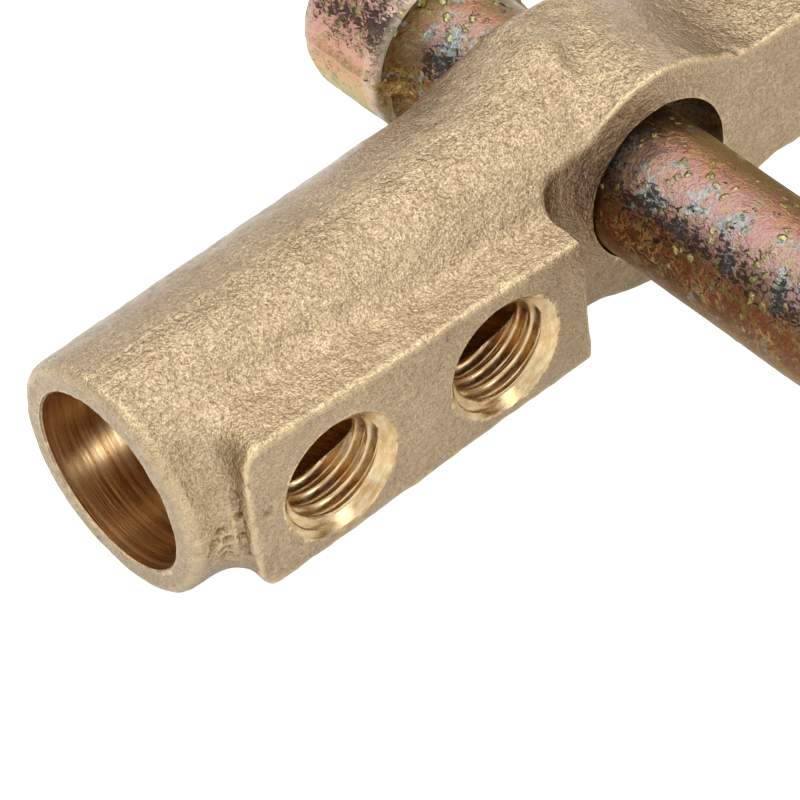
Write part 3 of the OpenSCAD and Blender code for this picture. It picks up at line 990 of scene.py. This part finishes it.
def build_arm():
    points, normals, quads = field_surface(arm_field, arm_lo, arm_hi, 0.27)
    points = points + normals * arm_skin(points)[:, None]
    points = np.clip(points, arm_lo - 0.25, arm_hi + 0.25)
    arm = mesh_object("arm_casting", points, [quads])
    # socket bore with a small chamfer at the mouth and a conical bottom
    chamfer_r = SOCKET_BORE_R + 0.12
    bore = [(0, MOUTH_X - 2), (chamfer_r, MOUTH_X - 2), (chamfer_r, MOUTH_X + 0.10),
            (SOCKET_BORE_R, MOUTH_X + 0.26), (SOCKET_BORE_R, MOUTH_X + 36.5),
            (0.5, MOUTH_X + 38.9), (0, MOUTH_X + 38.9)]
    cutters = [lathe("bore_cutter", bore, 160, 1.0, along_x(0, 0)),
               drill(HUB_BORE_R, -HUB_HALF - 3, HUB_HALF + 5, 160, 1.0, along_y(0, 0))]
    cutters += [clamp_thread_cutter(screw_x) for screw_x in CLAMP_SCREWS_X]
    cutters += [drill(2.05, SHOE_SEAT_Y - 2, SHOE_SEAT_Y + 9, 32, 2.0, along_y(screw_x, 0.0))
                for screw_x in SHOE_SCREWS_X]
    cut(arm, cutters)

    (x, y, z), (nx, ny, nz) = face_data(arm.data)
    index = np.full(len(x), CAST)
    radius = np.hypot(y, z)
    wall = (np.abs(radius - SOCKET_BORE_R) < 0.06) & (x < MOUTH_X + 37) & (y * ny + z * nz < 0)
    bottom = (radius < SOCKET_BORE_R + 0.02) & (x > MOUTH_X + 36) & (x < MOUTH_X + 39.2)
    index[wall | bottom] = BORED
    rim = (radius > SOCKET_BORE_R - 0.02) & (radius < SOCKET_BORE_R + 0.32)
    index[rim & (x < MOUTH_X + 0.40) & (nx < -0.3) & (np.abs(nx) < 0.97)] = CAST
    for screw_x in CLAMP_SCREWS_X:
        tapped = np.hypot(x - screw_x, z) < COUNTERSINK_R - 0.02
        tapped &= (y < -5.0) & (y > PAD_FACE_Y - 0.6)
        inward = (x - screw_x) * nx + z * nz < 0.02
        index[tapped & inward & (radius > SOCKET_BORE_R + 0.08)] = CUT
    finish(arm, "sliding_arm", "arm", BRASS, 42.0, index)


def carrier_field(points):
    x, y, z = points.T
    hub = rounded(np.hypot(x - BAR_X, z - BAR_Z) - (HUB_R - 0.05), np.abs(y - CARRIER_Y) - 9.0,
                  0.9)
    boss = rounded(np.hypot(x - SCREW_X, z) - BOSS_R + 0.05,
                   span(y, CARRIER_LO_Y, CARRIER_HI_Y) + 0.05, 1.1)
    beam = rounded(rounded(span(x, 1.0, 51.0), np.abs(z) - 6.6, 1.0),
                   np.abs(y - CARRIER_Y) - 7.0, 0.9)
    rib = rounded(rounded(span(x, 3.0, 45.0), np.abs(z) - 2.3, 0.9),
                  np.abs(y - (CARRIER_Y - 8.0)) - 3.0, 1.2)
    body = smooth_min(smooth_min(beam, rib, 1.8), hub, 3.2)
    return smooth_min(body, boss, 3.8)


def nut_thread_cutter():
    """the pressure screw's thread through the boss, flared at both ends"""
    segments = 120
    y = np.arange(CARRIER_LO_Y - 2, CARRIER_HI_Y + 2.01, 0.25)
    y = np.broadcast_to(y[:, None], (len(y), segments)).copy()
    radii = thread_radius(y, turn_angles(segments), crest=7.18, depth=1.30,
                          pitch=SCREW_PITCH, flat=0.22)
    flare = np.maximum(8.3 - np.minimum(y - CARRIER_LO_Y, CARRIER_HI_Y - y) * 1.0, 0)
    radii = np.maximum(radii, np.minimum(flare, 9.5))
    return grid_tube("nut_cutter", radii, y, along_y(SCREW_X, 0))


def build_carrier():
    points, normals, quads = field_surface(carrier_field, carrier_lo, carrier_hi,
                                           0.32)
    points = points + normals * cast_skin(points, 211)[:, None]
    points = np.clip(points, carrier_lo - 0.2, carrier_hi + 0.2)
    carrier = mesh_object("carrier_casting", points, [quads])
    bore_r = BAR_R + 0.03
    cut(carrier, [nut_thread_cutter(),
                  drill(bore_r, CARRIER_Y - 14, CARRIER_Y + 14, 120, 1.0, along_y(BAR_X, BAR_Z)),
                  pin_cutter()])

    (x, y, z), (nx, _, nz) = face_data(carrier.data)
    index = np.full(len(x), CAST)
    inward = (x - SCREW_X) * nx + z * nz < 0.02
    within = (y > CARRIER_LO_Y + 0.05) & (y < CARRIER_HI_Y - 0.05)
    index[(np.hypot(x - SCREW_X, z) < 8.5) & inward & within] = CUT
    bar_distance = np.hypot(x - BAR_X, z - BAR_Z)
    index[np.abs(bar_distance - bore_r) < 0.05] = BORED
    pin_distance = np.hypot(x - BAR_X, y - CARRIER_Y)
    index[(np.abs(pin_distance - PIN_HOLE_R) < 0.05) & (bar_distance > BAR_R + 0.05)] = BORED
    finish(carrier, "screw_carrier", "bar", BRASS, 42.0, index)


# --------------------------------------------------------------- slide bar
def forged_skin(points, amount, seed, streaks):
    """scale and dents of a forging, outwards in mm; streaks is a wavelength per axis"""
    depth = 0.045 * rough_noise(points, 11.0, seed) + 0.030 * rough_noise(points, 3.0, seed + 3)
    depth += 0.022 * rough_noise(points, 1.1, seed + 7)
    scaly = smoothstep(rough_noise(points, 6.0, seed + 11), -0.15, 0.35)
    depth += 0.060 * bumps(points, 1.25, 0.22, 0.46, 0.40, seed + 20) * scaly
    depth -= 0.070 * bumps(points, 1.8, 0.30, 0.70, 0.22, seed + 30) * (1 - scaly)
    depth -= 0.035 * smoothstep(value_noise(points, streaks, seed + 50), 0.25, 0.75)
    return amount * (depth - 0.035)


def bar_shape(radii, heights, angles):
    """die mismatch: the lower half of the head's rim sits nearer the hub, with flash
    along the parting line"""
    degrees = np.degrees(np.arctan2(np.cos(angles), np.sin(angles))) % 360
    lower = smoothstep(degrees, 171.0, 176.0) * (1 - smoothstep(degrees, 350.0, 355.0))
    rim = HEAD_RIM_Y
    near_rim = smoothstep(heights, rim - 4.4, rim - 2.2)
    near_rim = near_rim * (1 - smoothstep(heights, rim + 0.4, rim + 4.5))
    heights = heights - 1.35 * near_rim * lower
    flash = np.exp(-((degrees - 172.5) / 2.2) ** 2) + np.exp(-((degrees - 353.0) / 2.2) ** 2)
    radii = (radii + 0.30 * flash * smoothstep(heights, rim - 5.0, rim - 2.0)
             * (1 - smoothstep(heights, HEAD_END_Y - 4.0, HEAD_END_Y - 1.0)))
    return radii, heights


def bar_skin(points, heights):
    """the head is rougher than the shank"""
    depth = forged_skin(points, 1.0, 401, (0.8, 5.0, 0.8))
    return depth * (1 + 0.9 * smoothstep(heights, HEAD_RIM_Y - 0.5, HEAD_RIM_Y + 1.5))


def build_bar():
    rim = HEAD_RIM_Y
    end_r = 3.05
    profile = [(0, BAR_END_Y), (BAR_R - 1.1, BAR_END_Y), (BAR_R - 0.05, BAR_END_Y + 1.05),
               (BAR_R - 0.02, BAR_END_Y + 3), (BAR_R - 0.02, rim - 3.3)]
    # cove under the head
    profile += arc((BAR_R + 2.0, rim - 3.1), (2.02, 2.35), 180, 100, 9)
    profile += [(HEAD_R - 0.42, rim - 0.35), (HEAD_R - 0.12, rim + 0.05),
                (HEAD_R - 0.04, rim + 0.7), (HEAD_R, rim + 2.4), (HEAD_R - 0.05, rim + 4.4)]
    profile += arc((HEAD_R - end_r, HEAD_END_Y - end_r - 0.04), (end_r, end_r), 6, 82, 10)
    profile += [(HEAD_R - end_r * 1.4, HEAD_END_Y), (0, HEAD_END_Y)]
    bar = lathe("bar_forging", profile, 132, 0.33,
                along_y(BAR_X, BAR_Z), shape=bar_shape, skin=bar_skin)
    cut(bar, [pin_cutter()])
    finish(bar, "slide_bar", "bar", [BAR_ZINC], 50.0)


# --------------------------------------------------------------- pressure screw
def build_screw():
    start = screw_lo[1]
    tail = TOMMY_Y + 12                 # +Y end of the head
    profile = [
        (0, start), (9.3, start), (SCREW_HEAD_R, start + 1.5), (SCREW_HEAD_R, TOMMY_Y + 8.2),
        (9.7, TOMMY_Y + 9.5), (8.2, TOMMY_Y + 10), (8.2, tail - 0.2), (5.7, tail + 0.5),
        (5.7, tail + 3.0), (SCREW_R, tail + 4.3), (SCREW_R, BALL_Y - 8.4),
        (5.75, BALL_Y - 7.25), (4.2, BALL_Y - 7.2), (4.2, BALL_Y - 2.2), (5.2, BALL_Y - 2.2),
        (5.2, BALL_Y - 0.9), (4.9, BALL_Y - 0.6), (BALL_SEAT_R, BALL_Y - 0.6),
        (BALL_SEAT_R, BALL_Y - 1.2)]
    profile += arc((0, BALL_Y), (BALL_SEAT_R, -BALL_SEAT_R), 22, 88, 8)

    def thread(radii, heights, angles):
        cut_r = thread_radius(heights, angles, crest=SCREW_R, depth=1.28, pitch=SCREW_PITCH,
                              flat=0.26)
        on = (smoothstep(heights, tail + 3.2, tail + 4.6)
              * (1 - smoothstep(heights, BALL_Y - 9.6, BALL_Y - 8.2)))
        shank = (heights > tail + 3.0) & (heights < BALL_Y - 8.1) & (radii > 5.6)
        threaded = np.minimum(radii, radii * (1 - on) + cut_r * on)
        return np.where(shank, threaded, radii), heights

    def head_skin(points, heights):
        head = 1 - smoothstep(heights, tail - 3, tail)
        uneven = 0.05 * rough_noise(points, 5.0, 71) + 0.02 * rough_noise(points, 1.2, 73)
        return head * (uneven - 0.05)

    screw = lathe("pressure_screw", profile, 96, 0.24, along_y(SCREW_X, 0),
                  shape=thread, skin=head_skin, edge=0.35)
    # cross hole of the tommy bar, flared where it leaves the round head
    hole_r = TOMMY_R + 0.25
    reach = math.sqrt(SCREW_HEAD_R ** 2 - hole_r * hole_r) - 0.2
    cut(screw, [ring_cutter([(hole_r + 0.55, SCREW_X - 12.0), (hole_r, SCREW_X - reach),
                             (hole_r, SCREW_X + reach), (hole_r + 0.55, SCREW_X + 12.0)],
                            64, along_x(TOMMY_Y, 0))])
    finish(screw, "spindle", "screw", [TURNED_ZINC], 35.0)


def build_swivel_pad():
    rim_r = (pad_hi[0] - pad_lo[0]) / 2
    start, face = pad_lo[1], pad_hi[1]
    socket_r = 5.9
    outside = [(socket_r, start), (rim_r - 3.4, start), (rim_r - 2.6, start + 0.8),
               (rim_r - 2.2, start + 4.5), (rim_r - 0.6, start + 6.8), (rim_r, start + 7.6),
               (rim_r, start + 10.2), (rim_r - 0.8, face)]
    # ring grooves in the face
    groove_r = rim_r - 1.4
    while groove_r > 1.6:
        outside += [(groove_r, face), (groove_r - 0.35, face - 0.45), (groove_r - 0.7, face)]
        groove_r -= 1.5
    # from the middle of the face round the outside, then in through the socket
    profile = soften([(0.0, face)] + outside[::-1], 0.25)
    profile += [(socket_r, BALL_Y - 3.9), (6.25, BALL_Y - 3.9), (6.25, BALL_Y - 2.5),
                (socket_r, BALL_Y - 2.5), (socket_r, BALL_Y + 0.5), (BALL_SEAT_R, BALL_Y + 0.5)]
    profile += arc((0, BALL_Y), (BALL_SEAT_R, BALL_SEAT_R), 4, 88, 9)
    pad = lathe("pad_turned", profile, 96, 0.4, along_y(SCREW_X, 0))
    finish(pad, "swivel_pad", "pad", [TURNED_ZINC], 30.0)


# --------------------------------------------------------------- tommy bar
def build_tommy_bar():
    start, end = tommy_lo[0], tommy_hi[0]
    head_r = (tommy_hi[2] - tommy_lo[2]) / 2
    collar_end = collar_hi[0]
    shank_r = TOMMY_R - 0.02
    tail_r = TOMMY_R - 1.0              # thinner end that carries the collar
    profile = [(0, start), (TOMMY_R - 1.4, start), (tail_r, start + 0.4),
               (tail_r, collar_end + 0.05), (shank_r, collar_end + 0.05), (shank_r, end - 9.0)]
    # cove under the head
    profile += arc((TOMMY_R + 1.2, end - 9.0), (1.2, 1.2), 180, 95, 6)
    profile += [(head_r - 0.5, end - 7.7), (head_r - 0.05, end - 7.2), (head_r, end - 5.0),
                (head_r - 0.05, end - 2.9)]
    profile += arc((head_r - 2.8, end - 2.8), (2.8, 2.8), 8, 82, 8)
    profile.append((0, end))

    def skin(points, heights):
        return forged_skin(points, 0.8, 733, (5.0, 0.8, 0.8)) * (heights > collar_end + 0.2)

    tommy = lathe("tommy_forging", profile, 96, 0.36,
                  along_x(TOMMY_Y, 0), skin=skin)
    finish(tommy, "tommy_bar", "tommy", [TOMMY_ZINC], 50.0)


def build_collar():
    """ring on the tommy bar's thin end, turned from a closed outline"""
    start, end = collar_lo[0], collar_hi[0]
    outer_r = (collar_hi[2] - collar_lo[2]) / 2
    bore_r = TOMMY_R - 0.98
    outline = [(bore_r, start), (TOMMY_R + 0.6, start), (TOMMY_R + 1.6, start + 0.8),
               (outer_r, start + 2.0), (outer_r, end - 0.6), (outer_r - 0.5, end),
               (bore_r, end), (bore_r, start)]
    line = resample(soften(outline, 0.35), 0.4)
    if np.linalg.norm(line[0] - line[-1]) < 1e-6:
        line = line[:-1]
    rings, segments = len(line), 96
    place = along_x(TOMMY_Y, 0)
    angles = turn_angles(segments)
    radii = np.broadcast_to(line[:, :1], (rings, segments))
    heights = np.broadcast_to(line[:, 1:], (rings, segments))
    points = place(radii, angles, heights).reshape(-1, 3)
    skin = 0.05 * rough_noise(points, 4.0, 91) + 0.02 * rough_noise(points, 1.1, 92) - 0.05
    # the bore stays true
    skin = skin.reshape(radii.shape) * smoothstep(radii, bore_r + 0.11, bore_r + 0.81)
    points = place(radii + skin, angles, heights).reshape(-1, 3)
    i = np.arange(rings)[:, None]
    j = np.arange(segments)[None, :]
    i2, j2 = (i + 1) % rings, (j + 1) % segments
    quads = np.stack([i * segments + j, i * segments + j2, i2 * segments + j2,
                      i2 * segments + j], -1).reshape(-1, 4)
    collar = mesh_object("tommy_ring", points, facing_out(points, [quads]))
    finish(collar, "tommy_collar", "tommy", [TOMMY_ZINC], 40.0)


# --------------------------------------------------------------- contact shoe
def shoe_field(points):
    half = (shoe_hi[0] - shoe_lo[0]) / 2
    x, y, z = points[:, 0] - SCREW_X, points[:, 1], points[:, 2]
    chamfers = (np.abs(x) + np.abs(z) - 2 * half + 1.2) * 0.7071
    outline = smooth_max(rounded(np.abs(x) - half, np.abs(z) - half, 0.3), chamfers, 0.3)
    body = rounded(outline, span(y, SHOE_FACE_Y, SHOE_SEAT_Y), 0.28)
    vee_depth, vee_half = 3.1, 3.4
    vee = (vee_depth - (y - SHOE_FACE_Y) - np.abs(x) * vee_depth / vee_half) * 0.74
    body = smooth_max(body, vee, 0.25)
    # milled teeth across the face
    pitch = 1.8
    tooth = np.abs(np.mod(z + pitch / 2, pitch) - pitch / 2)
    teeth = 0.42 - tooth * 1.05 - (y - SHOE_FACE_Y)
    return smooth_max(body, teeth * 0.7, 0.08)


def build_shoe():
    points, _, quads = field_surface(shoe_field, shoe_lo, shoe_hi, 0.22,
                                     rounds=2)
    shoe = mesh_object("contact_shoe_milled", points, [quads])
    countersink = [(0, SHOE_FACE_Y - 1), (4.4, SHOE_FACE_Y - 1), (3.95, SHOE_FACE_Y),
                   (2.12, SHOE_FACE_Y + 1.9), (2.12, SHOE_SEAT_Y + 1), (0, SHOE_SEAT_Y + 1)]
    cut(shoe, [lathe("countersink_cutter", countersink, 64, 0.8, along_y(screw_x, 0))
               for screw_x in SHOE_SCREWS_X])
    finish(shoe, "contact_shoe", "arm", [COPPER], 35.0)


build_arm()
build_carrier()
build_bar()
build_screw()
build_swivel_pad()
build_tommy_bar()
build_collar()
build_shoe()

# small parts keep their CAD meshes
for node_name, part_material in (("shoe_screws", SCREW_STEEL), ("bar_pin", SPRING_STEEL),
                                 ("pad_ring", SPRING_STEEL), ("thrust_ball", BALL_STEEL)):
    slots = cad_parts[node_name].data.materials
    slots.clear()
    slots.append(part_material)

# --------------------------------------------------------------- stage, light, camera
scene = bpy.context.scene
# guards against a colour configuration without these names
try:
    scene.view_settings.view_transform = "Standard"
    scene.view_settings.look = "None"
    scene.view_settings.exposure = 0.0
except TypeError:
    pass


def build_floor():
    """pale floor just under the clamp, glowing full white to the camera only"""
    half = 3.0
    z = CAD_BOX[0][2] - 0.0001
    mesh = bpy.data.meshes.new("floor")
    corners = [(-half, -half, z), (half, -half, z), (half, half, z), (-half, half, z)]
    mesh.from_pydata(corners, [], [(0, 1, 2, 3)])
    floor = bpy.data.objects.new("floor", mesh)
    scene.collection.objects.link(floor)
    mat = Material("pale_floor")
    shade = mat.noise(scale=3, detail=2).mix((0.74, 0.74, 0.74, 1), (0.77, 0.77, 0.77, 1))
    glow = mat.camera_ray().remap(0.0, 1.0, low=0.18, high=1.0)
    for key, source in (("Base Color", shade), ("Roughness", 0.9), ("Specular IOR Level", 0.1),
                        ("Emission Color", (1, 1, 1, 1)), ("Emission Strength", glow)):
        mat.feed(mat.bsdf.inputs[key], source)
    mesh.materials.append(mat.material)


def build_world():
    """white to the camera, a soft level gradient to everything else"""
    world = bpy.data.worlds.new("studio")
    scene.world = world
    graph = Graph(world)
    output = graph.node("ShaderNodeOutputWorld")
    incoming = graph.value("ShaderNodeNewGeometry", output="Incoming")
    side = graph.vector_math("DOT_PRODUCT", incoming, (0.50, 0.86, 0.0), output="Value")
    soft = side.remap(-1.0, 1.0, low=0.17, high=0.88)
    strength = graph.math("MAXIMUM", soft, graph.camera_ray())
    background = graph.value("ShaderNodeBackground",
                             {"Color": (1.0, 1.0, 1.0, 1), "Strength": strength})
    graph.feed(output.inputs[0], background)


def area_light(name, location, size, power, size_y=None, target=None):
    """rectangular light, pointing straight down unless it has a target"""
    light = bpy.data.lights.new(name, "AREA")
    light.shape = "RECTANGLE"
    light.size = size
    light.size_y = size_y or size
    light.energy = power
    obj = bpy.data.objects.new(name, light)
    scene.collection.objects.link(obj)
    obj.location = location
    if target:
        direction = Vector(target) - Vector(location)
        obj.rotation_euler = direction.to_track_quat("-Z", "Y").to_euler()


def build_camera():
    camera = bpy.data.cameras.new("camera")
    camera.sensor_width = 36.0
    camera.lens = 225.0
    camera.clip_start = 0.01
    camera.clip_end = 20.0
    obj = bpy.data.objects.new("camera", camera)
    scene.collection.objects.link(obj)
    right = (0.74755, -0.65775, -0.0924)
    up = (0.52758, 0.5035, 0.68421)
    back = (-0.40351, -0.56023, 0.7234)
    turn = Matrix((right, up, back)).transposed()
    place = Vector((-181.97 + HUB_CENTRE[0], -220.78, 272.69)) * MM
    obj.matrix_world = Matrix.Translation(place) @ turn.to_4x4()
    scene.camera = obj


build_floor()
build_world()
# one broad box overhead, reaching behind the clamp, and two smaller ones at the front
area_light("overhead", (0.30, 0.42, 0.95), size=1.8, size_y=1.60, power=17.2)
area_light("front", (-0.55, -1.05, 0.75), size=0.7, power=1.2, target=(0.03, -0.02, 0))
area_light("low_front", (0.42, -0.98, 0.30), size=0.26, power=0.75, target=(0.03, -0.02, 0))
build_camera()
